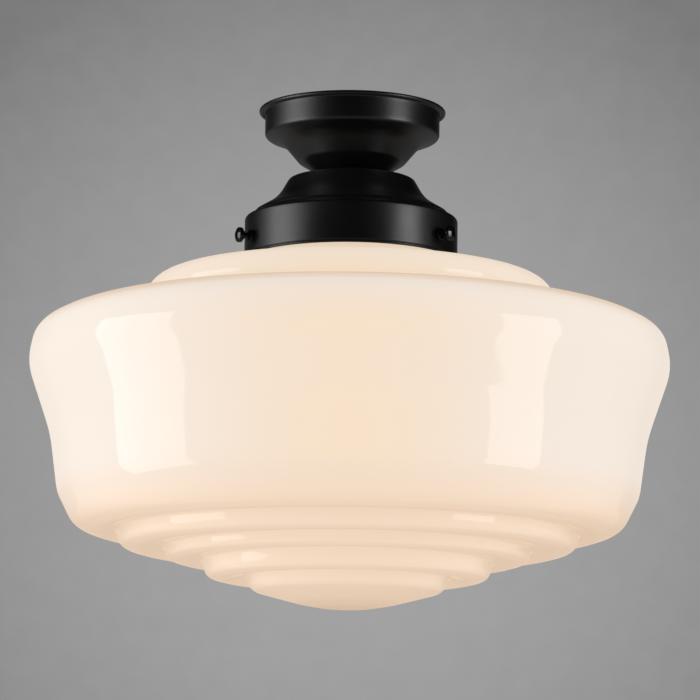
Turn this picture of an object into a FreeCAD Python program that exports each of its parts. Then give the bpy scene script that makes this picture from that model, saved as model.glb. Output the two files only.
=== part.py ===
"""Semi flush ceiling light: a stepped opal glass shade under a spun black canopy and shade holder.

Millimetres. Z = 0 is the ceiling, and the light hangs down from it along -Z. The front of the light
faces -Y. Every turned piece is drawn as an outline of (radius, height, corner radius) points, which
is rounded at its corners and turned about the Z axis.
"""
import FreeCAD, Part
import math
import os

from FreeCAD import Vector

# ---------------------------------------------------------------------------------------------
# Driving dimensions
# ---------------------------------------------------------------------------------------------

# General clearances
THREAD_GAP = 0.05          # radial gap between a screw thread and its nut or tapped hole
PASS_GAP = 0.2             # radial gap round a piece that passes through a plain hole
SEAT_GAP = 0.25            # gap between the screw tips and the glass neck

# Spun sheet of the canopy and the shade holder
SHEET = 1.0

# Canopy: a short pan with a rolled rim, over a bowl that draws in to the neck
RIM_R = 67.2               # outside of the rolled rim
RIM_BEAD_R = 1.5           # radius of the rolled bead
RIM_FLAT = 0.2             # the bead is pressed flat against the ceiling by this much
RIM_OUT = 4.3              # how far the rim stands out of the pan's wall
PAN_H = 19.4               # ceiling to the pan's lower corner
PAN_EASE = 3.2             # radius of that corner
KNEE_IN = 13.3             # pan's wall in to where its floor turns down into the bowl
KNEE_H = 5.2
KNEE_EASE = 20.0
FOOT_IN = 11.4             # that knee in to where the bowl turns in towards the neck
FOOT_H = 13.6
FOOT_EASE = 9.0
NECK_R = 24.0              # flat seat where canopy and holder meet
NECK_H = 8.3
NECK_EASE = 3.0

# Shade holder: a domed cap, a flared cone, a pressed ridge and a straight skirt
SEAT_EASE = 8.0            # from the flat seat into the cap
CAP_H = 5.1                # height of the domed cap
CAP_EASE = 3.0
CONE_IN = 8.2              # the steep wall spreads by this much under the cap
CONE_H = 14.4
CONE_EASE = 30.0
FLARE_IN = 15.6            # the flare spreads by this much, out to the ridge
FLARE_H = 9.4
RIDGE_EASE = 0.9
RIDGE_OUT = 0.7            # pressed ridge between flare and skirt
RIDGE_H = 1.9
SHOULDER_IN = 6.5          # ridge out to the skirt
SHOULDER_H = 3.3
SHOULDER_EASE = 2.4
SKIRT_H = 30.2
HEM_BEAD_R = 1.0           # rolled bead along the skirt's lower edge
HEM_PROUD = 0.4            # how far that bead stands out of the skirt

# Thumbscrews: three, in bosses on the skirt, that hold the glass under its lip
SCREW_COUNT = 3
SCREW_FIRST = -66.0        # degrees round from the front, towards +X
SCREW_RISE = 12.2          # skirt's lower edge up to the screws' axes
SCREW_R = 2.1
SCREW_CHAMFER = 0.6
BOSS_R = 4.4
BOSS_REACH = 3.0           # how far a boss stands out of the skirt
COLLAR_R = 3.3
COLLAR_THICK = 1.5
HEAD_R = 5.4
HEAD_THICK = 3.0
HEAD_DOME = 1.4
SCREW_FREE = 3.8           # bare shank between boss and collar

# Opal glass shade
GLASS = 3.2                # wall
GLASS_NECK_R = 71.5        # outside of the neck at the screws
LIP_FLARE = 2.4            # how far the lip flares out of the neck
LIP_RISE = 12.6            # screws' axes up to the lip
LIP_START = 2.6            # screws' axes up to where the neck begins to flare
LIP_GAP = 1.5              # radial gap between the lip and the skirt
CROWN_GAP = 2.8            # skirt's lower edge down to where the neck meets the crown
CROWN_EASE = 2.5
FLARE_EASE = 6.0
DOME_H = 12.4              # height of the dome's cap

# Outside of the glass below its neck: (radius, depth below the neck's foot, corner radius)
CROWN = [
    (111.0, 10.1, 36.0),
    (141.2, 11.0, 18.0),
    (147.0, 25.8, 8.0),
    (144.4, 32.2, 1.6),
]
BODY = [
    (157.6, 34.6, 6.0),
    (206.8, 42.2, 42.0),
    (224.1, 51.1, 18.0),
    (229.0, 74.9, 38.0),
    (211.8, 124.9, 115.0),
    (206.1, 166.2, 28.0),
    (194.6, 189.3, 18.5),
    (176.0, 195.4, 22.0),
]
RINGS = [
    [(163.8, 192.2, 2.6), (161.8, 203.0, 8.0), (149.0, 206.6, 24.0)],
    [(130.2, 204.0, 2.6), (127.8, 211.6, 5.0), (119.0, 214.2, 16.0)],
    [(103.4, 212.8, 2.6), (99.6, 224.2, 6.5), (87.0, 227.3, 20.0)],
]
DOME_HOLLOW = (72.4, 223.4, 2.6)
DOME_EDGE = (68.2, 233.6, 10.0)
DOME_SLOPE_R = 35.8        # where the dome's slope eases
DOME_SLOPE_H = 3.7         # that place above the lowest point
DOME_SLOPE_EASE = 50.0
DOME_FLAT_R = 16.0         # where the dome's slope ends
DOME_FLAT_EASE = 70.0

# The glass is one blown piece. It is drawn as crown, shoulder, body, heel and bowl, which meet in
# plain faces.
CROWN_END = 29.4           # neck's foot down to where the crown meets the shoulder
SHOULDER_END = 57.4        # neck's foot down to where the shoulder meets the body
BODY_END = 177.4           # neck's foot down to where the body meets the heel
BOWL_R = 170.0             # where the heel meets the bowl

# Strap, nipple and nuts
STRAP_L = 104.0
STRAP_W = 22.0
STRAP_T = 2.0
WIDE_SLOTS = 88.9          # centre to centre, for a wide outlet box
NARROW_SLOTS = 69.85       # centre to centre, for a narrow outlet box
SLOT_W = 5.0
WIDE_SLOT_L = 9.0
NARROW_SLOT_L = 7.0
NIPPLE_R = 5.1
NIPPLE_BORE_R = 3.4
NIPPLE_RISE = 5.4          # how far the nipple stands above the strap
NUT_FLATS = 14.3
NUT_T = 3.2
WASHER_R = 15.0
WASHER_T = 1.2
STAR_R = 9.5
STAR_T = 0.8
STAR_TEETH = 10
STAR_NOTCH_R = 1.2

# Medium screw socket. Each depth starts from the one above it.
SOCKET_DROP = 3.8          # holder's nut to the socket's collar
CAP_COLLAR_R = 8.0
CAP_COLLAR_H = 4.0
SOCKET_CAP_R = 19.6
SOCKET_CAP_H = 17.5        # skirt of the socket cap
CAP_SHEET = 0.8
NIPPLE_END = 3.5           # how far the nipple passes the socket's collar
SET_SCREW_R = 1.5
SET_SCREW_PROUD = 0.6
BODY_RIM_PROUD = 1.4       # porcelain rim outside the cap
BODY_RIM_H = 5.0
BODY_WALL = 4.4            # porcelain round the shell at the mouth
BODY_DROP = 11.5           # cap's collar to the top of the porcelain
FLOOR_DROP = 12.0          # top of the porcelain to the floor inside it
MOUTH_DROP = 29.0          # that floor to the mouth
TERMINAL_X = 11.0          # terminal screws, each side of the axis
TERMINAL_HEAD_R = 3.2
TERMINAL_HEAD_T = 1.8
TERMINAL_R = 1.7
TERMINAL_L = 7.0
CONTACT_R = 1.4            # rivet of the centre contact
CONTACT_L = 6.0
CONTACT_T = 0.4
CONTACT_W = 5.0
CONTACT_GAP = 0.3          # sprung tongue to the lamp's tip
SHELL_HOLE_R = 6.0         # hole in the shell's end, round the centre contact
SHELL_R = 14.0             # outside of the threaded shell
SHELL_SHEET = 0.4
SHELL_DEPTH = 0.45         # depth of the shell's rolled thread
THREAD_PITCH = 3.6
THREAD_TURNS = 5

# Lamp
BASE_GAP = 0.25            # lamp's base to the shell
BASE_SHEET = 0.3
BASE_DEPTH = 0.8           # depth of the base's rolled thread
TIP_DROP = 4.0             # floor of the socket to the lamp's bottom contact
BULB_LENGTH = 154.0
BULB_R = 36.5
BULB_GLASS = 0.9
CONTACT_BEAD = 1.2         # height of the solder contact at the tip
CONTACT_BEAD_R = 4.6
INSULATOR_H = 3.2          # contact to the base's shoulder
INSULATOR_R = 8.0
NECK_STRAIGHT = 8.0        # straight part of the envelope's neck
STEM_L = 52.0
STEM_R = 2.4
STEM_FLARE_R = 5.0         # stem's flared foot, where it begins to spread
STEM_FLARE_H = 10.0        # height of that foot
STEM_EASE = 8.0
WIRE_R = 0.45
FILAMENT_R = 0.6
FILAMENT_HALF = 17.0       # half the filament's span
FILAMENT_SAG = 4.0
FILAMENT_RISE = 4.0        # centre of the ball up to the filament's ends

# Radii and depths below the ceiling that follow from the sizes above. The glass sets the radius of
# the holder that carries it, and each depth starts from the one before it.
PAN_R = RIM_R - RIM_OUT
NECK_DEPTH = PAN_H + KNEE_H + FOOT_H + NECK_H
LIP_R = GLASS_NECK_R + LIP_FLARE
SKIRT_R = LIP_R + LIP_GAP + SHEET
SKIRT_TOP = NECK_DEPTH + CAP_H + CONE_H + FLARE_H + RIDGE_H + SHOULDER_H
HOLDER_DEPTH = SKIRT_TOP + SKIRT_H
SCREW_DEPTH = HOLDER_DEPTH - SCREW_RISE
CROWN_DEPTH = HOLDER_DEPTH + CROWN_GAP
NUT_DEPTH = NECK_DEPTH + SHEET + WASHER_T + STAR_T
SOCKET_TOP = NUT_DEPTH + NUT_T + SOCKET_DROP
COLLAR_LOW = SOCKET_TOP + CAP_COLLAR_H
NIPPLE_LOW = COLLAR_LOW + NIPPLE_END
BODY_TOP = COLLAR_LOW + BODY_DROP
SOCKET_FLOOR = BODY_TOP + FLOOR_DROP
SOCKET_MOUTH = SOCKET_FLOOR + MOUTH_DROP
BULB_TIP = SOCKET_FLOOR + TIP_DROP
BASE_R = SHELL_R - SHELL_DEPTH - SHELL_SHEET - BASE_GAP
NECK_GLASS_R = BASE_R - BASE_DEPTH - BASE_SHEET - PASS_GAP

# Leads
LEAD_R = 1.1
LEAD_OFF = 1.3             # centre of each lead from the axis, inside the nipple
LEAD_TURN = 5.0            # radius of a lead's turns in the canopy
LEAD_REACH = 14.5          # where the leads come down past the strap
LEAD_OVER = 4.6            # how far the leads' crossing lies above the nipple
CONNECTOR_R = 5.5
CONNECTOR_TIP_R = 3.4
CONNECTOR_L = 23.0
CONNECTOR_TOP = 13.0       # ceiling to the connectors' mouths
CONNECTOR_BITE = 12.0      # length of lead inside a connector
CONNECTOR_FLUTES = 8
CONNECTOR_BRIM_H = 3.5     # plain brim round a connector's mouth
GROUND_X = 21.0            # grounding screw on the strap
GROUND_OUT = 9.5           # from that screw to its lead's connector
GROUND_R = 2.0
GROUND_HEAD_R = 4.0
GROUND_HEAD_T = 2.2

Z_AXIS = Vector(0, 0, 1)
ORIGIN = Vector(0, 0, 0)


# ---------------------------------------------------------------------------------------------
# Outlines
# ---------------------------------------------------------------------------------------------

def flat(point):
    """An outline's (radius, height) as a point of the XZ plane."""
    return Vector(point[0], 0, point[1])


def rounded(points):
    """Edges along (r, z, corner radius) points, each inner corner rounded by its radius."""
    edges = []
    start = flat(points[0])
    for before, corner, after in zip(points, points[1:], points[2:]):
        here = flat(corner)
        back = (flat(before) - here).normalize()
        ahead = (flat(after) - here).normalize()
        half = back.getAngle(ahead) / 2
        radius = corner[2]
        if radius <= 0 or half > math.pi / 2 - 1e-4:
            edges.append(Part.LineSegment(start, here).toShape())
            start = here
            continue
        reach = radius / math.tan(half)
        first = here + back * reach
        last = here + ahead * reach
        middle = here + (back + ahead).normalize() * (radius / math.sin(half) - radius)
        if (first - start).Length > 1e-6:
            edges.append(Part.LineSegment(start, first).toShape())
        edges.append(Part.Arc(first, middle, last).toShape())
        start = last
    edges.append(Part.LineSegment(start, flat(points[-1])).toShape())
    return edges


def inset(points, wall):
    """The same outline moved by a wall's thickness to its right, corners kept concentric."""
    moved = []
    count = len(points)
    for i in range(count):
        here = flat(points[i])
        into = (here - flat(points[i - 1])).normalize() if i > 0 else None
        out = (flat(points[i + 1]) - here).normalize() if i < count - 1 else None
        into = into or out
        out = out or into
        side_in = Vector(into.z, 0, -into.x)
        side_out = Vector(out.z, 0, -out.x)
        across = (side_in + side_out).normalize()
        step = wall / across.dot(side_in)
        turn = into.x * out.z - into.z * out.x
        radius = points[i][2]
        if radius > 0:
            radius = max(radius + wall * (1 if turn > 0 else -1), 0.2)
        place = here + across * step
        moved.append((place.x, place.z, radius))
    return moved


def turned(edges):
    """A solid of revolution from a closed loop of edges in the XZ plane."""
    face = Part.Face(Part.Wire(Part.__sortEdges__(edges)))
    return face.revolve(ORIGIN, Z_AXIS, 360)


def turned_loop(points):
    """A turned solid from one closed outline. The first and last points are plain corners."""
    edges = rounded(points + [points[0]])
    return turned(edges)


def turned_sheet(points, wall, on_axis=False):
    """A turned sheet: the outline, its inset by the wall, and the two ends joined."""
    inner = inset(points, wall)
    if on_axis:
        inner[-1] = (0.0, inner[-1][1], 0)
    edges = rounded(points)
    edges += rounded(inner)
    edges.append(Part.LineSegment(flat(points[0]), flat(inner[0])).toShape())
    edges.append(Part.LineSegment(flat(points[-1]), flat(inner[-1])).toShape())
    return turned(edges)


def ring(inner_r, outer_r, low, high):
    """A plain tube about the Z axis."""
    outer = Part.makeCylinder(outer_r, high - low, Vector(0, 0, low))
    bore = Part.makeCylinder(inner_r, high - low, Vector(0, 0, low))
    return outer.cut(bore)


def round_bead(major, minor, height):
    """A rolled bead: a ring of round section."""
    return Part.makeTorus(major, minor, Vector(0, 0, height), Z_AXIS)


def outward(angle):
    """Unit vector at an angle in degrees, measured from the front (-Y) towards +X."""
    turn = math.radians(angle)
    return Vector(math.sin(turn), -math.cos(turn), 0)


def screw_angles():
    """Directions of the thumbscrews round the holder."""
    return [SCREW_FIRST + i * 360.0 / SCREW_COUNT for i in range(SCREW_COUNT)]


def hexagon(flats, low, high):
    """A hexagonal prism, with its corners turned down a little at both ends."""
    corner = flats / math.sqrt(3)
    points = [Vector(corner * math.cos(math.radians(60 * i)),
                     corner * math.sin(math.radians(60 * i)), low) for i in range(7)]
    prism = Part.Face(Part.makePolygon(points)).extrude(Vector(0, 0, high - low))
    ease = corner - flats / 2
    lathe = turned_loop([(0, low, 0), (corner - ease, low, 0), (corner, low + ease / 2, 0),
                         (corner, high - ease / 2, 0), (corner - ease, high, 0), (0, high, 0)])
    return prism.common(lathe)


# ---------------------------------------------------------------------------------------------
# Canopy and shade holder
# ---------------------------------------------------------------------------------------------

def canopy():
    """Spun pan, open to the ceiling, with a rolled rim and a hole for the nipple in its floor."""
    bead_mid = -RIM_BEAD_R + RIM_FLAT
    knee = PAN_R - KNEE_IN
    outline = [
        (RIM_R - RIM_BEAD_R, bead_mid - SHEET / 2, 0),
        (PAN_R, bead_mid - 1.1 * SHEET, 1.6 * SHEET),
        (PAN_R, -PAN_H, PAN_EASE),
        (knee, -PAN_H - KNEE_H, KNEE_EASE),
        (knee - FOOT_IN, -PAN_H - KNEE_H - FOOT_H, FOOT_EASE),
        (NECK_R, -NECK_DEPTH, NECK_EASE),
        (NIPPLE_R + PASS_GAP, -NECK_DEPTH, 0),
    ]
    shell = turned_sheet(outline, SHEET)
    body = shell.fuse(round_bead(RIM_R - RIM_BEAD_R, RIM_BEAD_R, bead_mid)).removeSplitter()
    above = Part.makeCylinder(RIM_R * 2, RIM_BEAD_R * 4, Vector(0, 0, 0))
    return body.cut(above)


def holder_outline():
    """Outside of the shade holder, from the nipple's hole out to the skirt's lower edge."""
    ridge_foot = SKIRT_R - SHOULDER_IN
    ridge = ridge_foot - RIDGE_OUT
    knee = ridge - FLARE_IN
    ridge_depth = SKIRT_TOP - SHOULDER_H - RIDGE_H
    return [
        (NIPPLE_R + PASS_GAP, -NECK_DEPTH, 0),
        (NECK_R, -NECK_DEPTH, SEAT_EASE),
        (knee - CONE_IN, -NECK_DEPTH - CAP_H, CAP_EASE),
        (knee, -NECK_DEPTH - CAP_H - CONE_H, CONE_EASE),
        (ridge, -ridge_depth, RIDGE_EASE),
        (ridge_foot, -ridge_depth - RIDGE_H, RIDGE_EASE),
        (SKIRT_R, -SKIRT_TOP, SHOULDER_EASE),
        (SKIRT_R, -HOLDER_DEPTH + HEM_BEAD_R, 0),
    ]


def shade_holder():
    """Spun holder, open below, with a pressed ridge, a rolled lower edge and three screw holes."""
    shell = turned_sheet(holder_outline(), SHEET)
    hem = round_bead(SKIRT_R + HEM_PROUD - HEM_BEAD_R, HEM_BEAD_R, -HOLDER_DEPTH + HEM_BEAD_R)
    body = shell.fuse(hem).removeSplitter()
    for angle in screw_angles():
        out = outward(angle)
        start = out * (SKIRT_R - 5 * SHEET) + Vector(0, 0, -SCREW_DEPTH)
        body = body.cut(Part.makeCylinder(SCREW_R + PASS_GAP, 10 * SHEET, start, out))
    return body


def screw_bosses():
    """Round tapped bosses that stand out of the skirt, one for each thumbscrew."""
    skirt = Part.makeCylinder(SKIRT_R, HOLDER_DEPTH, Vector(0, 0, -HOLDER_DEPTH))
    bosses = []
    for angle in screw_angles():
        out = outward(angle)
        start = out * (SKIRT_R - 2 * SHEET) + Vector(0, 0, -SCREW_DEPTH)
        length = BOSS_REACH + 2 * SHEET
        blank = Part.makeCylinder(BOSS_R, length, start, out)
        tip = [edge for edge in blank.Edges
               if edge.BoundBox.Center.dot(out) > SKIRT_R + BOSS_REACH / 2 and edge.isClosed()]
        blank = blank.makeFillet(0.7, tip[:1])
        bore = Part.makeCylinder(SCREW_R + THREAD_GAP, length, start, out)
        bosses.append(blank.cut(bore).cut(skirt))
    return Part.makeCompound(bosses)


def thumbscrew(angle):
    """Thumbscrew along +X, then turned to its place: shank, collar and domed round head."""
    tip = GLASS_NECK_R + SEAT_GAP
    collar = SKIRT_R + BOSS_REACH + SCREW_FREE
    head = collar + COLLAR_THICK
    face = head + HEAD_THICK
    outline = [
        (0, tip, 0),
        (SCREW_R - SCREW_CHAMFER, tip, 0),
        (SCREW_R, tip + SCREW_CHAMFER, 0),
        (SCREW_R, collar, 0.3),
        (COLLAR_R, collar, 0.6),
        (COLLAR_R, head, 0.4),
        (HEAD_R, head, 0.9),
        (HEAD_R, face, 1.1),
        (HEAD_R * 0.45, face + HEAD_DOME, 4.0),
        (0, face + HEAD_DOME, 0),
    ]
    screw = turned_loop(outline)
    screw.rotate(ORIGIN, Vector(1, 0, 0), 90)      # its axis now points to the front
    screw.rotate(ORIGIN, Z_AXIS, angle)
    screw.translate(Vector(0, 0, -SCREW_DEPTH))
    return screw


# ---------------------------------------------------------------------------------------------
# Glass
# ---------------------------------------------------------------------------------------------

def glass_outline():
    """Outside of the shade: lip, neck, crown, shoulder and tapered body, three rings and a dome."""
    lip = -SCREW_DEPTH + LIP_RISE
    outline = [
        (LIP_R, lip, 0),
        (LIP_R, lip - GLASS / 2, FLARE_EASE / 3),
        (GLASS_NECK_R, -SCREW_DEPTH + LIP_START, FLARE_EASE),
        (GLASS_NECK_R, -CROWN_DEPTH, CROWN_EASE),
    ]
    for stretch in [CROWN, BODY] + RINGS + [[DOME_HOLLOW, DOME_EDGE]]:
        outline += [(radius, -CROWN_DEPTH - depth, corner) for radius, depth, corner in stretch]
    lowest = -CROWN_DEPTH - DOME_EDGE[1] - DOME_H
    outline.append((DOME_SLOPE_R, lowest + DOME_SLOPE_H, DOME_SLOPE_EASE))
    outline.append((DOME_FLAT_R, lowest, DOME_FLAT_EASE))
    outline.append((0, lowest, 0))
    return outline


def glass_shade():
    """Blown opal glass of even wall, open at its neck, with a fire-polished round lip."""
    wall = turned_sheet(glass_outline(), GLASS, on_axis=True)
    lip = round_bead(LIP_R - GLASS / 2, GLASS / 2, -SCREW_DEPTH + LIP_RISE)
    return wall.fuse(lip).removeSplitter()


def shade_pieces():
    """The glass parted by three level planes and, below them, by a cylinder round the bowl."""
    rest = glass_shade()
    reach = rest.BoundBox.XMax + GLASS
    depth = -rest.BoundBox.ZMin + GLASS
    pieces = {}
    for name, end in (("shade_crown", CROWN_END), ("shade_shoulder", SHOULDER_END), ("shade_body", BODY_END)):
        height = CROWN_DEPTH + end
        upper = Part.makeCylinder(reach, height, Vector(0, 0, -height))
        pieces[name] = rest.common(upper)
        rest = rest.cut(upper)
    middle = Part.makeCylinder(BOWL_R, depth, Vector(0, 0, -depth))
    pieces["shade_heel"] = rest.cut(middle)
    pieces["shade_bowl"] = rest.common(middle)
    return pieces


# ---------------------------------------------------------------------------------------------
# Strap, nipple, nuts and washers
# ---------------------------------------------------------------------------------------------

def slot(x, length, width):
    """A round-ended slot through the strap, along X."""
    half = (length - width) / 2
    tool = Part.makeBox(2 * half, width, 4 * STRAP_T, Vector(x - half, -width / 2, -2 * STRAP_T))
    for end in (x - half, x + half):
        tool = tool.fuse(Part.makeCylinder(width / 2, 4 * STRAP_T, Vector(end, 0, -2 * STRAP_T)))
    return tool


def mounting_strap():
    """Flat steel bar that bolts to the outlet box and carries the nipple."""
    bar = Part.makeBox(STRAP_L, STRAP_W, STRAP_T, Vector(-STRAP_L / 2, -STRAP_W / 2, -STRAP_T))
    uprights = [edge for edge in bar.Edges if abs(edge.tangentAt(edge.FirstParameter).z) > 0.9]
    bar = bar.makeFillet(STRAP_W * 0.3, uprights)
    for side in (-1, 1):
        bar = bar.cut(slot(side * WIDE_SLOTS / 2, WIDE_SLOT_L, SLOT_W))
        bar = bar.cut(slot(side * NARROW_SLOTS / 2, NARROW_SLOT_L, SLOT_W))
    bar = bar.cut(Part.makeCylinder(NIPPLE_R + THREAD_GAP, 4 * STRAP_T, Vector(0, 0, -2 * STRAP_T)))
    tapped = GROUND_R + THREAD_GAP
    bar = bar.cut(Part.makeCylinder(tapped, 4 * STRAP_T, Vector(GROUND_X, 0, -2 * STRAP_T)))
    return bar


def nipple():
    """Threaded tube from the strap down to the socket, open for the leads."""
    tube = ring(NIPPLE_BORE_R, NIPPLE_R, -NIPPLE_LOW, NIPPLE_RISE)
    rims = [edge for edge in tube.Edges
            if edge.isClosed() and abs(edge.BoundBox.XMax - NIPPLE_R) < 0.01]
    return tube.makeChamfer(0.5, rims)


def hex_nut(low):
    """Hexagon nut on the nipple, standing on a height."""
    blank = hexagon(NUT_FLATS, low, low + NUT_T)
    hole = Part.makeCylinder(NIPPLE_R + THREAD_GAP, NUT_T, Vector(0, 0, low))
    return blank.cut(hole)


def strap_nuts():
    """One nut above the strap and one below it."""
    return Part.makeCompound([hex_nut(0), hex_nut(-STRAP_T - NUT_T)])


def holder_washer():
    """Flat washer inside the holder."""
    top = -NECK_DEPTH - SHEET
    return ring(NIPPLE_R + PASS_GAP, WASHER_R, top - WASHER_T, top)


def star_washer():
    """Toothed lock washer between the flat washer and the nut."""
    top = -NECK_DEPTH - SHEET - WASHER_T
    disc = ring(NIPPLE_R + PASS_GAP, STAR_R, top - STAR_T, top)
    for i in range(STAR_TEETH):
        turn = math.radians(i * 360.0 / STAR_TEETH)
        notch = Vector(STAR_R * math.cos(turn), STAR_R * math.sin(turn), top - STAR_T)
        disc = disc.cut(Part.makeCylinder(STAR_NOTCH_R, STAR_T, notch))
    return disc


def holder_nut():
    """Nut that draws the holder and the canopy up against the ceiling."""
    return hex_nut(-NUT_DEPTH - NUT_T)


# ---------------------------------------------------------------------------------------------
# Socket
# ---------------------------------------------------------------------------------------------

def socket_cap():
    """Drawn cap that screws onto the nipple and covers the socket's terminals."""
    hole = NIPPLE_R + THREAD_GAP
    cap = turned_loop([
        (hole, -SOCKET_TOP, 0),
        (CAP_COLLAR_R, -SOCKET_TOP, 0.8),
        (CAP_COLLAR_R, -COLLAR_LOW, 0.8),
        (SOCKET_CAP_R, -COLLAR_LOW, 4.0),
        (SOCKET_CAP_R, -COLLAR_LOW - SOCKET_CAP_H, 0),
        (SOCKET_CAP_R - CAP_SHEET, -COLLAR_LOW - SOCKET_CAP_H, 0),
        (SOCKET_CAP_R - CAP_SHEET, -COLLAR_LOW - CAP_SHEET, 3.2),
        (hole, -COLLAR_LOW - CAP_SHEET, 0),
    ])
    tapped = Part.makeCylinder(SET_SCREW_R + THREAD_GAP, CAP_COLLAR_R * 2,
                               Vector(0, 0, -SOCKET_TOP - CAP_COLLAR_H / 2), Vector(1, 0, 0))
    return cap.cut(tapped)


def set_screw():
    """Slotted set screw in the cap's collar, that stops it turning on the nipple."""
    height = -SOCKET_TOP - CAP_COLLAR_H / 2
    start = NIPPLE_R + THREAD_GAP
    body = Part.makeCylinder(SET_SCREW_R, CAP_COLLAR_R - start + SET_SCREW_PROUD,
                             Vector(start, 0, height), Vector(1, 0, 0))
    return body.cut(screw_slot(Vector(CAP_COLLAR_R + SET_SCREW_PROUD, 0, height),
                               Vector(1, 0, 0), SET_SCREW_R, 0.5))


def screw_slot(face, out, head_r, width):
    """Tool for the driver slot in a screw's head: a bar across the head, as deep as it is wide."""
    bar = Part.makeBox(2 * width, 4 * head_r, width, Vector(-width, -2 * head_r, -width / 2))
    if abs(out.z) > 0.5:
        bar.rotate(ORIGIN, Vector(0, 1, 0), 90)
    bar.translate(face)
    return bar


def terminal_places():
    """Where the two terminal screws stand on top of the porcelain."""
    return [Vector(side * TERMINAL_X, 0, -BODY_TOP) for side in (-1, 1)]


def socket_body():
    """Glazed porcelain body: rim under the cap, tapered outside, bored for the shell."""
    rim = -COLLAR_LOW - SOCKET_CAP_H - PASS_GAP
    rim_r = SOCKET_CAP_R + BODY_RIM_PROUD
    fit = SOCKET_CAP_R - CAP_SHEET - PASS_GAP
    bore = SHELL_R + PASS_GAP
    body = turned_loop([
        (0, -BODY_TOP, 0),
        (fit, -BODY_TOP, 1.0),
        (fit, rim, 0.3),
        (rim_r, rim, 1.2),
        (rim_r, rim - BODY_RIM_H, 2.0),
        (bore + BODY_WALL + 0.4, rim - BODY_RIM_H - 3.0, 4.0),
        (bore + BODY_WALL, -SOCKET_MOUTH, 1.6),
        (bore, -SOCKET_MOUTH, 0.8),
        (bore, -SOCKET_FLOOR, 0.5),
        (0, -SOCKET_FLOOR, 0),
    ])
    down = Vector(0, 0, -1)
    for place in terminal_places():
        body = body.cut(Part.makeCylinder(TERMINAL_R + THREAD_GAP, TERMINAL_L + 0.5, place, down))
    rivet = Part.makeCylinder(CONTACT_R + THREAD_GAP, SOCKET_FLOOR - BODY_TOP,
                              Vector(0, 0, -BODY_TOP), down)
    return body.cut(rivet)


def rolled_thread(radius, depth, high, ends):
    """Outline of a rolled thread, drawn as rounded ribs, from the top down."""
    root = radius - depth
    ease = THREAD_PITCH * 0.2
    points = [(root, high, ease)]
    for i in range(THREAD_TURNS):
        middle = high - (i + 0.5) * THREAD_PITCH
        points.append((radius, middle + ease, ease))
        points.append((radius, middle - ease, ease))
        points.append((root, middle - THREAD_PITCH / 2, ease))
    points.append((root, high - THREAD_TURNS * THREAD_PITCH - ends, 0))
    return points


def screw_shell():
    """Threaded brass shell inside the porcelain."""
    end = -SOCKET_FLOOR - THREAD_GAP
    high = -SOCKET_MOUTH + 3.0 + THREAD_TURNS * THREAD_PITCH
    threads = rolled_thread(SHELL_R, SHELL_DEPTH, high, 1.0)
    outline = [(SHELL_HOLE_R, end, 0), (SHELL_R - SHELL_DEPTH, end, 1.0)] + threads
    return turned_sheet(outline, SHELL_SHEET)


def centre_contact():
    """Sprung brass tongue that meets the lamp's bottom contact, on its rivet."""
    foot = -SOCKET_FLOOR
    bend = (foot - BULB_TIP) / 2
    tip = -BULB_TIP + CONTACT_GAP
    tongue = [Vector(-4.2, 0, foot), Vector(2.0, 0, foot), Vector(4.2, 0, bend),
              Vector(1.0, 0, tip), Vector(0.6, 0, tip + CONTACT_T), Vector(3.4, 0, bend),
              Vector(1.6, 0, foot - CONTACT_T), Vector(-4.2, 0, foot - CONTACT_T)]
    face = Part.Face(Part.makePolygon(tongue + tongue[:1]))
    strip = face.extrude(Vector(0, CONTACT_W, 0))
    strip.translate(Vector(0, -CONTACT_W / 2, 0))
    rivet = Part.makeCylinder(CONTACT_R, CONTACT_L, Vector(0, 0, foot - CONTACT_T))
    return strip.fuse(rivet).removeSplitter()


def terminal_screws():
    """Two slotted screws that clamp the leads on the porcelain."""
    screws = []
    for place in terminal_places():
        screw = turned_loop([
            (0, TERMINAL_HEAD_T, 0),
            (TERMINAL_HEAD_R, TERMINAL_HEAD_T, 0.7),
            (TERMINAL_HEAD_R, 0, 0),
            (TERMINAL_R, 0, 0),
            (TERMINAL_R, -TERMINAL_L, 0),
            (0, -TERMINAL_L, 0),
        ])
        face = Vector(0, 0, TERMINAL_HEAD_T)
        screw = screw.cut(screw_slot(face, Z_AXIS, TERMINAL_HEAD_R, 0.8))
        screw.translate(place)
        screws.append(screw)
    return Part.makeCompound(screws)


# ---------------------------------------------------------------------------------------------
# Lamp
# ---------------------------------------------------------------------------------------------

def base_shoulder():
    """Height at which the lamp's base turns in towards its insulator."""
    return -BULB_TIP - CONTACT_BEAD - INSULATOR_H


def neck_top():
    """Height of the upper end of the envelope's neck, inside the base."""
    return base_shoulder() - THREAD_TURNS * THREAD_PITCH


def bulb_base():
    """Threaded metal base of the lamp, a thin shell that narrows to its insulator."""
    shoulder = base_shoulder()
    threads = rolled_thread(BASE_R, BASE_DEPTH, shoulder - 1.6, 4.0)
    end = [(INSULATOR_R - 1.0, shoulder + 2.2, 0), (BASE_R - BASE_DEPTH, shoulder, 1.4)]
    return turned_sheet(end + threads, BASE_SHEET)


def bulb_insulator():
    """Black glass bead that carries the bottom contact."""
    shoulder = base_shoulder()
    tip = -BULB_TIP - CONTACT_BEAD
    return turned_loop([
        (0, shoulder - 1.0, 0),
        (INSULATOR_R, shoulder - 1.0, 0),
        (INSULATOR_R, shoulder + 0.8, 0),
        (INSULATOR_R - 1.4, shoulder + 2.2, 0.4),
        (CONTACT_BEAD_R - 1.4, tip, 0.3),
        (0, tip, 0),
    ])


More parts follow.
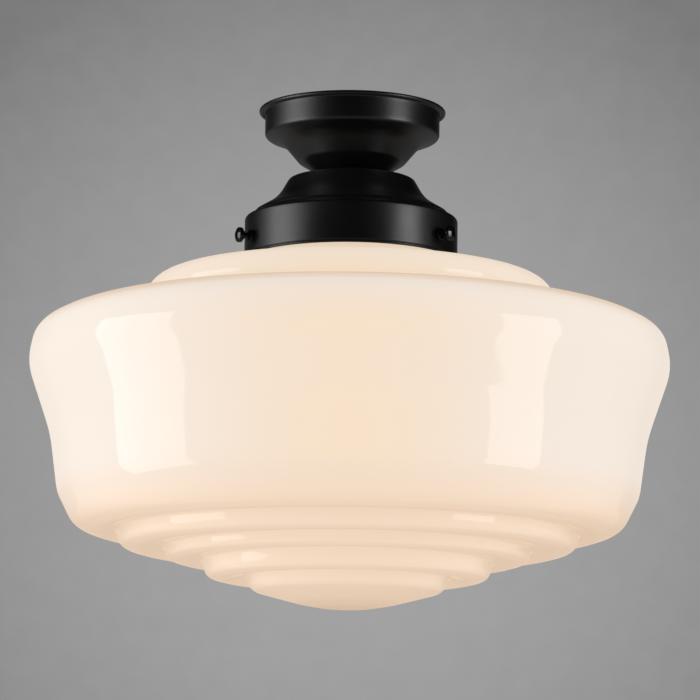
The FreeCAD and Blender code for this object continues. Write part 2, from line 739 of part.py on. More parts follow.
def bulb_contact():
    """Soldered contact at the lamp's tip."""
    foot = -BULB_TIP - CONTACT_BEAD
    return turned_loop([(0, foot, 0), (CONTACT_BEAD_R, foot, 0.4),
                        (CONTACT_BEAD_R - 1.6, -BULB_TIP, 0.8), (0, -BULB_TIP, 0)])


def bulb_glass():
    """Pear-shaped envelope, open into the base at its neck."""
    outline, low = pear(NECK_GLASS_R, BULB_R)
    inside, low_inside = pear(NECK_GLASS_R - BULB_GLASS, BULB_R - BULB_GLASS)
    top_out = Vector(NECK_GLASS_R, 0, neck_top())
    top_in = Vector(NECK_GLASS_R - BULB_GLASS, 0, neck_top())
    ends = [Part.LineSegment(top_out, top_in).toShape(), Part.LineSegment(low, low_inside).toShape()]
    return turned(outline + inside + ends)


def pear(neck_r, ball_r):
    """Edges down a straight neck, along a cone and round a ball that it meets at a tangent."""
    middle = -BULB_TIP - BULB_LENGTH + BULB_R
    cone_top = neck_top() - NECK_STRAIGHT
    rise = cone_top - middle
    touch = math.atan2(rise, neck_r) - math.acos(ball_r / math.hypot(rise, neck_r))
    halfway = (touch - math.pi / 2) / 2
    bend = Vector(neck_r, 0, cone_top)
    meet = Vector(ball_r * math.cos(touch), 0, middle + ball_r * math.sin(touch))
    side = Vector(ball_r * math.cos(halfway), 0, middle + ball_r * math.sin(halfway))
    low = Vector(0, 0, middle - ball_r)
    edges = [
        Part.LineSegment(Vector(neck_r, 0, neck_top()), bend).toShape(),
        Part.LineSegment(bend, meet).toShape(),
        Part.Arc(meet, side, low).toShape(),
    ]
    return edges, low


def stem_tip():
    """Height of the lower end of the lamp's glass stem."""
    return neck_top() - STEM_L


def bulb_stem():
    """Glass stem that carries the filament's wires. Its flared foot is sealed into the neck."""
    top = neck_top() - 1.0
    tip = stem_tip()
    foot_r = NECK_GLASS_R - BULB_GLASS - THREAD_GAP
    return turned_loop([
        (0, top, 0),
        (foot_r, top, 0),
        (foot_r, top - 2.0, 1.0),
        (STEM_FLARE_R, top - STEM_FLARE_H, STEM_EASE),
        (STEM_R, top - STEM_L / 2, STEM_EASE),
        (STEM_R, tip, 1.0),
        (0, tip, 0),
    ])


def filament_height():
    """Height of the filament, at the middle of the envelope's ball."""
    return -BULB_TIP - BULB_LENGTH + BULB_R + FILAMENT_RISE


def bulb_wires():
    """Two lead-in wires that spread from the stem's tip to the filament's ends."""
    foot = Vector(STEM_R + WIRE_R, 0, stem_tip() + 4.0)
    end = Vector(FILAMENT_HALF, 0, filament_height())
    right = Part.makeCylinder(WIRE_R, (end - foot).Length, foot, end - foot)
    left = right.mirror(ORIGIN, Vector(1, 0, 0))
    return Part.makeCompound([left, right])


def filament():
    """Coiled filament, drawn as one curved rod between the two wires."""
    height = filament_height() - WIRE_R - FILAMENT_R
    left = Vector(-FILAMENT_HALF, 0, height)
    path = Part.Wire(Part.Arc(left, Vector(0, 0, height - FILAMENT_SAG),
                              Vector(FILAMENT_HALF, 0, height)).toShape())
    along = path.Edges[0].tangentAt(path.Edges[0].FirstParameter)
    section = Part.Wire(Part.makeCircle(FILAMENT_R, left, along))
    return path.makePipeShell([section], True, True)


# ---------------------------------------------------------------------------------------------
# Leads and connectors
# ---------------------------------------------------------------------------------------------

def lead(points, turns):
    """A round lead along straight runs, joined by an arc of its own radius at each corner."""
    edges = []
    start = points[0]
    for before, here, after, radius in zip(points, points[1:], points[2:], turns):
        back = (before - here).normalize()
        ahead = (after - here).normalize()
        half = back.getAngle(ahead) / 2
        reach = radius / math.tan(half)
        first = here + back * reach
        last = here + ahead * reach
        middle = here + (back + ahead).normalize() * (radius / math.sin(half) - radius)
        edges.append(Part.LineSegment(start, first).toShape())
        edges.append(Part.Arc(first, middle, last).toShape())
        start = last
    edges.append(Part.LineSegment(start, points[-1]).toShape())
    path = Part.Wire(edges)
    section = Part.Wire(Part.makeCircle(LEAD_R, points[0], points[1] - points[0]))
    return path.makePipeShell([section], True, True)


def supply_lead(side):
    """Lead from a terminal, up the nipple, over its end and down into a connector."""
    terminal = terminal_places()[1 if side > 0 else 0]
    level = -BODY_TOP + LEAD_R + 0.5
    over = NIPPLE_RISE + LEAD_OVER
    points = [
        Vector(terminal.x - side * (TERMINAL_HEAD_R + 0.3), 0, level),
        Vector(side * LEAD_OFF, 0, level),
        Vector(side * LEAD_OFF, 0, over),
        Vector(side * LEAD_OFF, side * LEAD_REACH, over),
        Vector(side * LEAD_OFF, side * LEAD_REACH, -CONNECTOR_TOP - CONNECTOR_BITE),
    ]
    return lead(points, [2.6, LEAD_TURN, LEAD_TURN])


def ground_lead():
    """Lead from the grounding screw, out along the strap and down into its connector."""
    level = -STRAP_T - LEAD_R - 0.4
    out = GROUND_X + GROUND_OUT
    points = [
        Vector(GROUND_X + GROUND_HEAD_R + 0.3, 0, level),
        Vector(out, 0, level),
        Vector(out, 0, -CONNECTOR_TOP - CONNECTOR_BITE),
    ]
    return lead(points, [3.4])


def ground_screw():
    """Grounding screw under the strap, hexagon head."""
    low = -STRAP_T - GROUND_HEAD_T
    head = hexagon(GROUND_HEAD_R * math.sqrt(3), low, -STRAP_T)
    shank = Part.makeCylinder(GROUND_R, STRAP_T, Vector(0, 0, -STRAP_T))
    groove = screw_slot(Vector(0, 0, low), Z_AXIS, GROUND_HEAD_R, 0.9)
    screw = head.fuse(shank).cut(groove).removeSplitter()
    screw.translate(Vector(GROUND_X, 0, 0))
    return screw


def connector(x, y):
    """Twist-on connector: a fluted cone that hangs mouth up round the end of a lead."""
    low = -CONNECTOR_TOP - CONNECTOR_L
    body = turned_loop([
        (0, low, 0),
        (CONNECTOR_TIP_R, low, 1.2),
        (CONNECTOR_R - 0.6, -CONNECTOR_TOP - CONNECTOR_BRIM_H - 1.0, 2.0),
        (CONNECTOR_R, -CONNECTOR_TOP - CONNECTOR_BRIM_H, 1.0),
        (CONNECTOR_R, -CONNECTOR_TOP, 0),
        (0, -CONNECTOR_TOP, 0),
    ])
    bore = Part.makeCylinder(LEAD_R + 0.1, CONNECTOR_BITE + 0.5,
                             Vector(0, 0, -CONNECTOR_TOP - CONNECTOR_BITE - 0.5))
    mouth = Part.makeCone(LEAD_R + 0.1, CONNECTOR_R - 1.2, 4.0, Vector(0, 0, -CONNECTOR_TOP - 4.0))
    body = body.cut(bore).cut(mouth)
    for i in range(CONNECTOR_FLUTES):
        turn = math.radians((i + 0.5) * 360.0 / CONNECTOR_FLUTES)
        reach = CONNECTOR_R + 0.2
        place = Vector(reach * math.cos(turn), reach * math.sin(turn), low - 1)
        body = body.cut(Part.makeCylinder(1.0, CONNECTOR_L - 4.0, place))
    body.translate(Vector(x, y, 0))
    return body


# ---------------------------------------------------------------------------------------------
# All nodes
# ---------------------------------------------------------------------------------------------

def nodes():
    """Every separate piece of the light, by name."""
    pieces = {
        "canopy": canopy(),
        "shade_holder": shade_holder(),
        "screw_bosses": screw_bosses(),
        "mounting_strap": mounting_strap(),
        "nipple": nipple(),
        "strap_nuts": strap_nuts(),
        "holder_washer": holder_washer(),
        "star_washer": star_washer(),
        "holder_nut": holder_nut(),
        "socket_cap": socket_cap(),
        "set_screw": set_screw(),
        "socket_body": socket_body(),
        "screw_shell": screw_shell(),
        "centre_contact": centre_contact(),
        "terminal_screws": terminal_screws(),
        "live_lead": supply_lead(1),
        "neutral_lead": supply_lead(-1),
        "ground_lead": ground_lead(),
        "ground_screw": ground_screw(),
        "live_connector": connector(LEAD_OFF, LEAD_REACH),
        "neutral_connector": connector(-LEAD_OFF, -LEAD_REACH),
        "ground_connector": connector(GROUND_X + GROUND_OUT, 0),
        "bulb_base": bulb_base(),
        "bulb_insulator": bulb_insulator(),
        "bulb_contact": bulb_contact(),
        "bulb_glass": bulb_glass(),
        "bulb_stem": bulb_stem(),
        "bulb_wires": bulb_wires(),
        "bulb_filament": filament(),
    }
    pieces.update(shade_pieces())
    for name, angle in zip(("left", "right", "rear"), screw_angles()):
        pieces["thumbscrew_" + name] = thumbscrew(angle)
    return pieces


os.makedirs("parts", exist_ok=True)
for node, shape in nodes().items():
    solids = shape.Solids
    print(node, len(solids), "solids", round(shape.Volume, 1), "mm3", "valid", shape.isValid())
    shape.exportStep("parts/" + node + ".step")
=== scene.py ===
# %% [markdown]
# # A semi flush ceiling light in black metal and opal glass
#
# The light hangs from a ceiling. A black spun canopy covers the wiring, a black shade holder hangs
# under it, and three thumbscrews in the holder's skirt carry a wide shade of opal glass. The lamp
# inside is lit, so the glass glows. Z = 0 is the ceiling, the light hangs down along -Z, and its
# front faces -Y. All lengths are in metres, but outlines are written in millimetres, as a maker
# would write them.

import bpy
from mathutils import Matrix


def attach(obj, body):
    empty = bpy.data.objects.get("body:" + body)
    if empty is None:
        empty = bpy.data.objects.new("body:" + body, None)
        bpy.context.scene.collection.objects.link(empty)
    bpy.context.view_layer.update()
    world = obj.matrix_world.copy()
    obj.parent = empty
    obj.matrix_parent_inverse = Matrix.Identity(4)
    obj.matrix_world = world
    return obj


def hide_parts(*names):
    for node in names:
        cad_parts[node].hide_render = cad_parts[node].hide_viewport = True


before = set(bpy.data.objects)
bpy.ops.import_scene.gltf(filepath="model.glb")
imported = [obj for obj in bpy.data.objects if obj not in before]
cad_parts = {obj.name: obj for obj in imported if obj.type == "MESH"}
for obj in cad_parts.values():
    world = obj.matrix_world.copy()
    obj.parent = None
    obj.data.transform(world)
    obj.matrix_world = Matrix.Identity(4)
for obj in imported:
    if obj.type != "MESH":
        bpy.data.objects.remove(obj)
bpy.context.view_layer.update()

# %% Other modules
import math

import bmesh
import bpy
import numpy as np

MM = 0.001
print("blender", bpy.app.version_string)

# %% [markdown]
# ## Camera
#
# The photograph was taken from about two and a half metres away and from below, as a person would
# look up at the light. A long lens keeps the circles of the shade calm. The camera is placed by
# three numbers: how far it stands from a point on the light's axis, how far below that point it
# looks from, and a small tilt of the picture.

# %% Camera
CAMERA_DISTANCE = 2.5236
CAMERA_BELOW = math.radians(9.307)
CAMERA_TILT = math.radians(0.657)
AIM = np.array([0.00016, 0.0, -0.1746])
PICTURE = 700
FOCAL_PIXELS = 3533.8
SENSOR = 36.0


def add_camera():
    """Camera at AIM minus the view direction times the distance, with the picture tilted a little."""
    view = np.array([0.0, math.cos(CAMERA_BELOW), math.sin(CAMERA_BELOW)])
    data = bpy.data.cameras.new("camera")
    data.sensor_width = SENSOR
    data.lens = FOCAL_PIXELS / PICTURE * SENSOR
    camera = bpy.data.objects.new("camera", data)
    camera.location = AIM - CAMERA_DISTANCE * view
    camera.rotation_mode = "XYZ"
    upright = math.pi / 2 + CAMERA_BELOW
    camera.rotation_euler = (upright, 0.0, 0.0)
    camera.rotation_euler.rotate_axis("Z", CAMERA_TILT)
    bpy.context.scene.collection.objects.link(camera)
    bpy.context.scene.camera = camera
    return camera


camera = add_camera()
print("camera at", [round(v, 4) for v in camera.location])

# %% [markdown]
# ## Turned pieces
#
# Canopy, holder and shade are all made by turning: metal is spun over a wooden form and glass is
# blown in a turned mould. In Blender such a piece could be a curve with the Screw modifier. Here it
# is one array instead, because then the wall, the rounded corners and the seam are exact: an outline
# of radius and height, carried round the axis.

# %% Outlines with rounded corners
CORNER_STEPS = 10
NEARLY_STRAIGHT = 0.001
LEAST_EASE = 0.2


def rounded(points, steps=CORNER_STEPS):
    """Outline (r, z) through (r, z, corner radius) points, each corner replaced by an arc in equal steps.

    The arc of radius R touches both runs at R / tan(half the corner's angle) from the corner. Its
    centre lies on the corner's bisector, at R / sin(half the angle).
    """
    line = [np.array(points[0][:2], float)]
    for before, here, after in zip(points, points[1:], points[2:]):
        corner = np.array(here[:2], float)
        back = np.array(before[:2], float) - corner
        ahead = np.array(after[:2], float) - corner
        back /= np.linalg.norm(back)
        ahead /= np.linalg.norm(ahead)
        half = math.acos(float(np.clip(back @ ahead, -1, 1))) / 2
        if here[2] <= 0 or half > math.pi / 2 - NEARLY_STRAIGHT:
            line.append(corner)
            continue
        middle = corner + (back + ahead) / np.linalg.norm(back + ahead) * here[2] / math.sin(half)
        first = corner + back * here[2] / math.tan(half) - middle
        last = corner + ahead * here[2] / math.tan(half) - middle
        sweep = math.pi - 2 * half
        share = np.linspace(0, 1, steps + 1)[:, None]
        arc = np.sin((1 - share) * sweep) * first + np.sin(share * sweep) * last
        line.extend(middle + arc / math.sin(sweep))
    line.append(np.array(points[-1][:2], float))
    return np.array(line)


def offset(points, wall):
    """The outline moved by a wall's thickness to its right.

    Each corner moves along its bisector, and its radius grows or shrinks by the wall, down to a least
    radius, so that the wall keeps its thickness.
    """
    path = np.array([p[:2] for p in points], float)
    run = np.diff(path, axis=0)
    run /= np.linalg.norm(run, axis=1)[:, None]
    into = np.vstack([run[:1], run])
    out = np.vstack([run, run[-1:]])
    side_in = np.stack([into[:, 1], -into[:, 0]], axis=1)
    side_out = np.stack([out[:, 1], -out[:, 0]], axis=1)
    across = side_in + side_out
    across /= np.linalg.norm(across, axis=1)[:, None]
    moved = path + across * (wall / np.sum(across * side_in, axis=1))[:, None]
    turn = into[:, 0] * out[:, 1] - into[:, 1] * out[:, 0]
    radius = np.array([p[2] for p in points], float)
    grown = np.where(radius > 0, np.maximum(radius + wall * np.sign(turn), LEAST_EASE), 0)
    return [tuple(p) + (float(r),) for p, r in zip(moved, grown)]


square = rounded([(0, 0, 0), (10, 0, 2), (10, 10, 0)])
print("a square corner rounded by 2 mm starts with", square.round(2)[:3].tolist())

# %% Runs cut into even steps
def evened(outline, longest):
    """The outline with every run longer than a given step cut into equal shorter ones.

    A point on a run is the run's start plus a share of the run: 1/n, 2/n, and so on up to 1.
    """
    run = np.diff(outline, axis=0)
    count = np.maximum(1, np.ceil(np.linalg.norm(run, axis=1) / longest)).astype(int)
    first = np.repeat(np.cumsum(count) - count, count)
    share = (np.arange(count.sum()) - first + 1) / np.repeat(count, count)
    between = np.repeat(outline[:-1], count, axis=0) + np.repeat(run, count, axis=0) * share[:, None]
    return np.vstack([outline[:1], between])


straight = np.array([[0.0, 0.0], [10.0, 0.0]])
print("a run of 10 mm cut at 4 mm:", evened(straight, 4.0)[:, 0].round(2).tolist())

# %% Turned meshes
SAME_POINT = 1e-7
NO_LENGTH = 1e-8


def add_mesh(name, points, faces, body):
    """A smooth mesh object from arrays, in metres, that rides on a body of the construction model."""
    mesh = bpy.data.meshes.new(name)
    mesh.from_pydata(points.tolist(), [], faces)
    mesh.shade_smooth()
    mesh.update()
    piece = bpy.data.objects.new(name, mesh)
    bpy.context.scene.collection.objects.link(piece)
    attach(piece, body)
    return piece


def close_poles(piece):
    """Merges the points that lie on each other at the axis, and drops the faces that vanish there."""
    shape = bmesh.new()
    shape.from_mesh(piece.data)
    bmesh.ops.remove_doubles(shape, verts=shape.verts, dist=SAME_POINT)
    bmesh.ops.dissolve_degenerate(shape, edges=shape.edges, dist=NO_LENGTH)
    bmesh.ops.recalc_face_normals(shape, faces=shape.faces)
    shape.to_mesh(piece.data)
    shape.free()
    piece.data.shade_smooth()


def turned(name, loop, around, body):
    """A turned piece: point (r, z) of a closed loop at angle a lies at (r sin a, -r cos a, z).

    The loop runs so that the material lies on its right. Points on the axis become one pole each.
    """
    angle = np.arange(around) * 2 * math.pi / around
    radius, height = loop[:, 0], loop[:, 1]
    grid = np.stack([np.outer(radius, np.sin(angle)), -np.outer(radius, np.cos(angle)),
                     np.repeat(height[:, None], around, axis=1)], axis=2)
    row = np.arange(len(loop))
    after = np.roll(row, -1)
    column = np.arange(around)
    beside = np.roll(column, -1)
    quads = np.stack([np.add.outer(row * around, column), np.add.outer(after * around, column),
                      np.add.outer(after * around, beside), np.add.outer(row * around, beside)], axis=2)
    piece = add_mesh(name, grid.reshape(-1, 3) * MM, quads.reshape(-1, 4).tolist(), body)
    close_poles(piece)
    return piece


# %% [markdown]
# ## Opal glass shade
#
# The shade is blown in a mould: a low crown round the neck, a wide shoulder, a tapered body, and
# three steps that lead down to a shallow dome. The outline was measured from the photograph. The
# wall is even, so the inside is the same outline moved in by its thickness, and the lip is melted
# round. Nothing shows the inside, so its corners have fewer steps than the outside's.

# %% Opal glass shade
GLASS_WALL = 3.2
NECK_R = 71.5
LIP_R = 73.9
LIP_TOP = -86.0
GLASS_STEP = 4.0
GLASS_AROUND = 180
OUTSIDE_STEPS = 8
INSIDE_STEPS = 3
GLASS = [
    (LIP_R, LIP_TOP, 0), (LIP_R, -87.8, 2.0), (NECK_R, -96.0, 6.0), (NECK_R, -113.6, 2.5),
    (111.0, -123.7, 36.0), (141.2, -124.6, 18.0), (147.0, -139.4, 8.0), (144.4, -145.8, 1.6),
    (157.6, -148.2, 6.0), (206.8, -155.8, 42.0), (224.1, -164.7, 18.0), (229.0, -188.5, 38.0),
    (211.8, -238.5, 115.0), (206.1, -279.8, 28.0), (194.6, -302.9, 18.5), (176.0, -309.0, 22.0),
    (163.8, -305.8, 2.6), (161.8, -316.6, 8.0), (149.0, -320.2, 24.0),
    (130.2, -317.6, 2.6), (127.8, -325.2, 5.0), (119.0, -327.8, 16.0),
    (103.4, -326.4, 2.6), (99.6, -337.8, 6.5), (87.0, -340.9, 20.0),
    (72.4, -337.0, 2.6), (68.2, -347.2, 10.0), (35.8, -355.9, 50.0), (16.0, -359.6, 70.0),
    (0.0, -359.6, 0),
]


def half_circle(start, end):
    """Points on a half circle from one end of a diameter to the other, without the ends: the middle,
    plus the cosine of the turn times the arm, plus its sine times the arm turned upright."""
    middle = (start + end) / 2
    arm = start - middle
    turn = np.linspace(0, math.pi, CORNER_STEPS + 1)[1:-1, None]
    upright = np.array([-arm[1], arm[0]]) * np.sign(arm[0])
    return middle + arm * np.cos(turn) + upright * np.sin(turn)


def glass_shade():
    """A closed loop turned about the axis: the outside from lip to pole, the inside, and the lip."""
    outside = evened(rounded(GLASS, OUTSIDE_STEPS), GLASS_STEP)
    inner = offset(GLASS, GLASS_WALL)
    inner[-1] = (0.0, inner[-1][1], 0)
    inside = evened(rounded(inner, INSIDE_STEPS), GLASS_STEP)[::-1]
    lip = half_circle(inside[-1], outside[0])
    return turned("opal_shade", np.vstack([outside, inside, lip]), GLASS_AROUND, "shade")


shade = glass_shade()
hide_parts("shade_crown", "shade_shoulder", "shade_body", "shade_heel", "shade_bowl")
print("shade faces", len(shade.data.polygons))

# %% [markdown]
# ## Canopy and shade holder
#
# Both are spun from one millimetre sheet. The canopy's rim and the holder's lower edge are rolled
# over into a bead, which stiffens the sheet and hides its cut edge. A Solidify modifier could give
# an outline its thickness, but it leaves sharp corners. Here the sheet is the outline and its
# offset in one loop, and the bead is a second loop that runs into the sheet.

# %% Spun sheet
SHEET = 1.0
METAL_STEP = 2.5
METAL_AROUND = 240
BEAD_STEPS = 24


def spun(points):
    """Closed loop of a sheet: the outline, and back along its offset."""
    outside = evened(rounded(points), METAL_STEP)
    inside = evened(rounded(offset(points, SHEET)), METAL_STEP)[::-1]
    return np.vstack([outside, inside])


def bead(major, minor, height, flat=0.0):
    """Section of a rolled bead: a circle of radius minor round (major, height), pressed flat at its
    top by a given amount."""
    turn = np.arange(BEAD_STEPS) * 2 * math.pi / BEAD_STEPS
    section = np.stack([major + minor * np.cos(turn), height - minor * np.sin(turn)], axis=1)
    section[:, 1] = np.minimum(section[:, 1], height + minor - flat)
    return section


def joined(name, loops, around, body):
    """Several turned loops in one piece."""
    parts = [turned(name + "_part", loop, around, body) for loop in loops]
    with bpy.context.temp_override(active_object=parts[0], selected_editable_objects=parts):
        bpy.ops.object.join()
    parts[0].name = name
    parts[0].data.name = name
    return parts[0]


NIPPLE_HOLE_R = 5.3
SEAT_R = 24.0
SEAT_HEIGHT = -46.5
PAN_R = 62.9
PAN_DROP = 0.6
RIM_R = 67.2
RIM_BEAD = 1.5
RIM_FLAT = 0.2
RIM_MIDDLE = -RIM_BEAD + RIM_FLAT
CANOPY = [
    (RIM_R - RIM_BEAD, RIM_MIDDLE - SHEET / 2, 0), (PAN_R, RIM_MIDDLE - SHEET / 2 - PAN_DROP, 1.6),
    (PAN_R, -19.4, 3.2), (49.6, -24.6, 20.0), (38.2, -38.2, 9.0), (SEAT_R, SEAT_HEIGHT, 3.0),
    (NIPPLE_HOLE_R, SEAT_HEIGHT, 0),
]
canopy = joined("black_canopy", [spun(CANOPY), bead(RIM_R - RIM_BEAD, RIM_BEAD, RIM_MIDDLE, RIM_FLAT)],
                METAL_AROUND, "fixture")
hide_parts("canopy")
print("canopy faces", len(canopy.data.polygons))

# %% Shade holder
SKIRT_R = 76.4
HEM_PROUD = 0.4
HEM_BEAD = 1.0
HEM_BOTTOM = -110.8
HEM_MIDDLE = HEM_BOTTOM + HEM_BEAD
HOLDER = [
    (NIPPLE_HOLE_R, SEAT_HEIGHT, 0), (SEAT_R, SEAT_HEIGHT, 8.0), (45.4, -51.6, 3.0), (53.6, -66.0, 30.0),
    (69.2, -75.4, 0.9), (69.9, -77.3, 0.9), (SKIRT_R, -80.6, 2.4), (SKIRT_R, HEM_MIDDLE, 0),
]
holder = joined("black_holder", [spun(HOLDER), bead(SKIRT_R + HEM_PROUD - HEM_BEAD, HEM_BEAD, HEM_MIDDLE)],
                METAL_AROUND, "fixture")
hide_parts("shade_holder")
print("holder faces", len(holder.data.polygons))

# %% [markdown]
# ## Finishes
#
# No surface of the real light has one flat colour. Spun metal keeps faint lines under its paint,
# plated steel has faint clouds, porcelain and glass are wavy. All of them use one group of nodes,
# which turns a place on the piece into a slow variation and a fine relief, and each finish takes
# its own share of it.

# %% Group for uneven surfaces
CLOUD_DETAIL = 3.0
GRAIN_DETAIL = 2.0


def uneven_group():
    """Group: Object coordinates to a slow variation from 0 to 1 and a fine relief from 0 to 1. Round is
    how fast the relief changes on its way round, next to how fast it changes with height."""
    group = bpy.data.node_groups.new("uneven surface", "ShaderNodeTree")
    for name in ("Cloud scale", "Grain scale", "Round"):
        group.interface.new_socket(name, in_out="INPUT", socket_type="NodeSocketFloat")
    for name in ("Cloud", "Grain"):
        group.interface.new_socket(name, in_out="OUTPUT", socket_type="NodeSocketFloat")
    nodes, links = group.nodes, group.links
    inputs = nodes.new("NodeGroupInput")
    outputs = nodes.new("NodeGroupOutput")
    place = nodes.new("ShaderNodeTexCoord")
    rates = nodes.new("ShaderNodeCombineXYZ")
    links.new(inputs.outputs["Round"], rates.inputs["X"])
    links.new(inputs.outputs["Round"], rates.inputs["Y"])
    rates.inputs["Z"].default_value = 1.0
    drawn = nodes.new("ShaderNodeVectorMath")
    drawn.operation = "MULTIPLY"
    links.new(place.outputs["Object"], drawn.inputs[0])
    links.new(rates.outputs["Vector"], drawn.inputs[1])
    for name, where, detail in (("Cloud", place.outputs["Object"], CLOUD_DETAIL),
                                ("Grain", drawn.outputs["Vector"], GRAIN_DETAIL)):
        texture = nodes.new("ShaderNodeTexNoise")
        texture.inputs["Detail"].default_value = detail
        links.new(where, texture.inputs["Vector"])
        links.new(inputs.outputs[name + " scale"], texture.inputs["Scale"])
        links.new(texture.outputs["Fac"], outputs.inputs[name])
    return group


UNEVEN = uneven_group()
print("group sockets", [item.name for item in UNEVEN.interface.items_tree])

# %% Helpers for nodes
def feed(tree, slot, value):
    """Links another node's output to a socket, or sets the socket to a colour or a number."""
    if isinstance(value, bpy.types.NodeSocket):
        tree.links.new(value, slot)
    elif isinstance(value, tuple):
        slot.default_value = (*value, 1.0)
    else:
        slot.default_value = value


def mixed(tree, share, low, high, blend="MIX"):
    """Mix node: low where the share is 0, and high, or low blended with high, where it is 1."""
    mix = tree.nodes.new("ShaderNodeMix")
    mix.data_type = "RGBA"
    mix.blend_type = blend
    for name, value in (("Factor", share), ("A", low), ("B", high)):
        feed(tree, mix.inputs[name], value)
    return mix.outputs["Result"]


def ranged(tree, value, before, after=(0.0, 1.0)):
    """Map Range node: carries a value from one range to another, and holds it at that range's ends."""
    node = tree.nodes.new("ShaderNodeMapRange")
    feed(tree, node.inputs["Value"], value)
    for name, limit in zip(("From Min", "From Max", "To Min", "To Max"), (*before, *after)):
        node.inputs[name].default_value = limit
    return node.outputs["Result"]


print("helpers: feed, mixed, ranged")

# %% A finish
NOISE_RANGE = (0.3, 0.7)


def finish(name, low, high, rough, metallic=0.0, clouds=30.0, grain=900.0, relief=0.0, depth=0.0002,
           around=1.0):
    """Material whose colour runs from low to high with the clouds, and its roughness over a range too.

    Noise seldom leaves NOISE_RANGE, so the roughness is spread over that. Relief and depth are the
    strength and the height, in metres, of a bump that follows the grain.
    """
    material = bpy.data.materials.new(name)
    material.use_nodes = True
    tree = material.node_tree
    shader = tree.nodes["Principled BSDF"]
    uneven = tree.nodes.new("ShaderNodeGroup")
    uneven.node_tree = UNEVEN
    uneven.inputs["Cloud scale"].default_value = clouds
    uneven.inputs["Grain scale"].default_value = grain
    uneven.inputs["Round"].default_value = around
    shader.inputs["Metallic"].default_value = metallic
    cloud = uneven.outputs["Cloud"]
    tree.links.new(mixed(tree, cloud, low, high), shader.inputs["Base Color"])
    tree.links.new(ranged(tree, cloud, NOISE_RANGE, rough), shader.inputs["Roughness"])
    if relief > 0:
        bump = tree.nodes.new("ShaderNodeBump")
        bump.inputs["Strength"].default_value = relief
        bump.inputs["Distance"].default_value = depth
        tree.links.new(uneven.outputs["Grain"], bump.inputs["Height"])
        tree.links.new(bump.outputs["Normal"], shader.inputs["Normal"])
    return material


print("a finish spreads its roughness over noise from", *NOISE_RANGE)

# %% [markdown]
# ### Black paint
#
# The metal is sprayed satin black, and the thumbscrews are polished. Spinning leaves fine lines that
# run round the sheet, and the paint softens them without filling them. They could be turned into
# the mesh as grooves, but they are finer than its faces. So the relief changes quickly with height
# and slowly on its way round, and it breaks up the highlights along the skirt and the pan.

# %% Black paint
black_paint = finish("satin black paint", (0.0014, 0.0013, 0.0013), (0.0022, 0.0020, 0.0019),
                     (0.34, 0.40), clouds=24.0, grain=900.0, relief=0.25, depth=0.0001, around=0.04)
black_polish = finish("polished black", (0.0020, 0.0018, 0.0018), (0.0030, 0.0028, 0.0027), (0.14, 0.20),
                      clouds=90.0)
print("black paint on the turned pieces and the bosses, polished black on the thumbscrews")

# %% [markdown]
# ### Opal glass
#
# Opal glass scatters light in its depth, so with the lamp lit it glows all over, a little warmer
# towards the middle, and its polished skin still mirrors the studio's soft boxes. Tracing the lamp's
# light through the wall would be slow and noisy. Instead the glow is a warm emission over a pale base
# that the studio lights.
#
# Where the glass turns away from the eye, the glow turns from warm to pale on the body. Where the look
# grazes a ring, the dome or the crease at the crown's foot, it turns deep: this is painted shade, which
# darkens the creases and the undersides of the rings and the dome. So the glow has six colours, matched
# to the photograph. They are laid along the glass's height for three ways of looking, which Layer
# Weight mixes.
#
# The real metal above the shade stays dark on its undersides. So a Light Path node shows the camera
# the whole glow, but lets only a part of it fall on the other pieces.

# %% Colours of the glow
AMBER = (0.73, 0.535, 0.38)
WARM = (0.75, 0.575, 0.41)
PALE = (0.68, 0.585, 0.505)
CREAM = (0.69, 0.565, 0.435)
# Painted shade: the two darkest colours stand for the shade in the creases and under the rings and the
# dome.
PAINTED_SHADE_DEEP = (0.60, 0.42, 0.275)
PAINTED_SHADE_DARKEST = (0.51, 0.335, 0.19)

TIP = -0.360
DOME_SLOPE = -0.354
DOME_EDGE = -0.345
HEEL = -0.302
BODY_FOOT = -0.270
SHOULDER = -0.170
SHOULDER_TOP = -0.156
CROWN = -0.146

FACE_ON = ((TIP, AMBER), (HEEL, AMBER), (BODY_FOOT, WARM), (SHOULDER, WARM), (SHOULDER_TOP, AMBER),
           (CROWN, WARM))
TURNED_AWAY = ((TIP, PAINTED_SHADE_DEEP), (DOME_EDGE, AMBER), (HEEL, AMBER), (BODY_FOOT, PALE), (SHOULDER, PALE),
               (CROWN, CREAM))
GRAZING = ((TIP, PAINTED_SHADE_DARKEST), (DOME_SLOPE, PAINTED_SHADE_DEEP), (HEEL, PAINTED_SHADE_DEEP), (BODY_FOOT, PALE), (SHOULDER, PALE),
           (SHOULDER_TOP, PAINTED_SHADE_DEEP), (CROWN, CREAM))
print("glow laid from", TIP, "to", CROWN, "m in", len({AMBER, WARM, PALE, CREAM, PAINTED_SHADE_DEEP, PAINTED_SHADE_DARKEST}), "colours")

# %% Opal glass
# Layer Weight's Facing, which is 0 face on and 1 at the outline, and the next colour's share there
TURNED_STEPS = ((0.0, 0.0), (0.02, 0.2), (0.10, 0.62), (0.30, 1.0))
GRAZING_STEPS = ((0.50, 0.0), (0.72, 0.5), (0.90, 1.0))
CAST_SHARE = 0.2
SKIN_MIRROR = 0.2


def ramp(tree, share, stops):
    """Colour Ramp node through stops, each a place from 0 to 1 and a colour, fed by a share."""
    node = tree.nodes.new("ShaderNodeValToRGB")
    elements = node.color_ramp.elements
    elements.remove(elements[1])
    elements[0].position = stops[0][0]
    elements[0].color = (*stops[0][1], 1.0)
    for place, colour in stops[1:]:
        elements.new(place).color = (*colour, 1.0)
    tree.links.new(share, node.inputs["Fac"])
    return node.outputs["Color"]


def along(tree, height, laid):
    """Ramp over the height from TIP to CROWN through colours laid at heights."""
    return ramp(tree, height, [((z - TIP) / (CROWN - TIP), colour) for z, colour in laid])


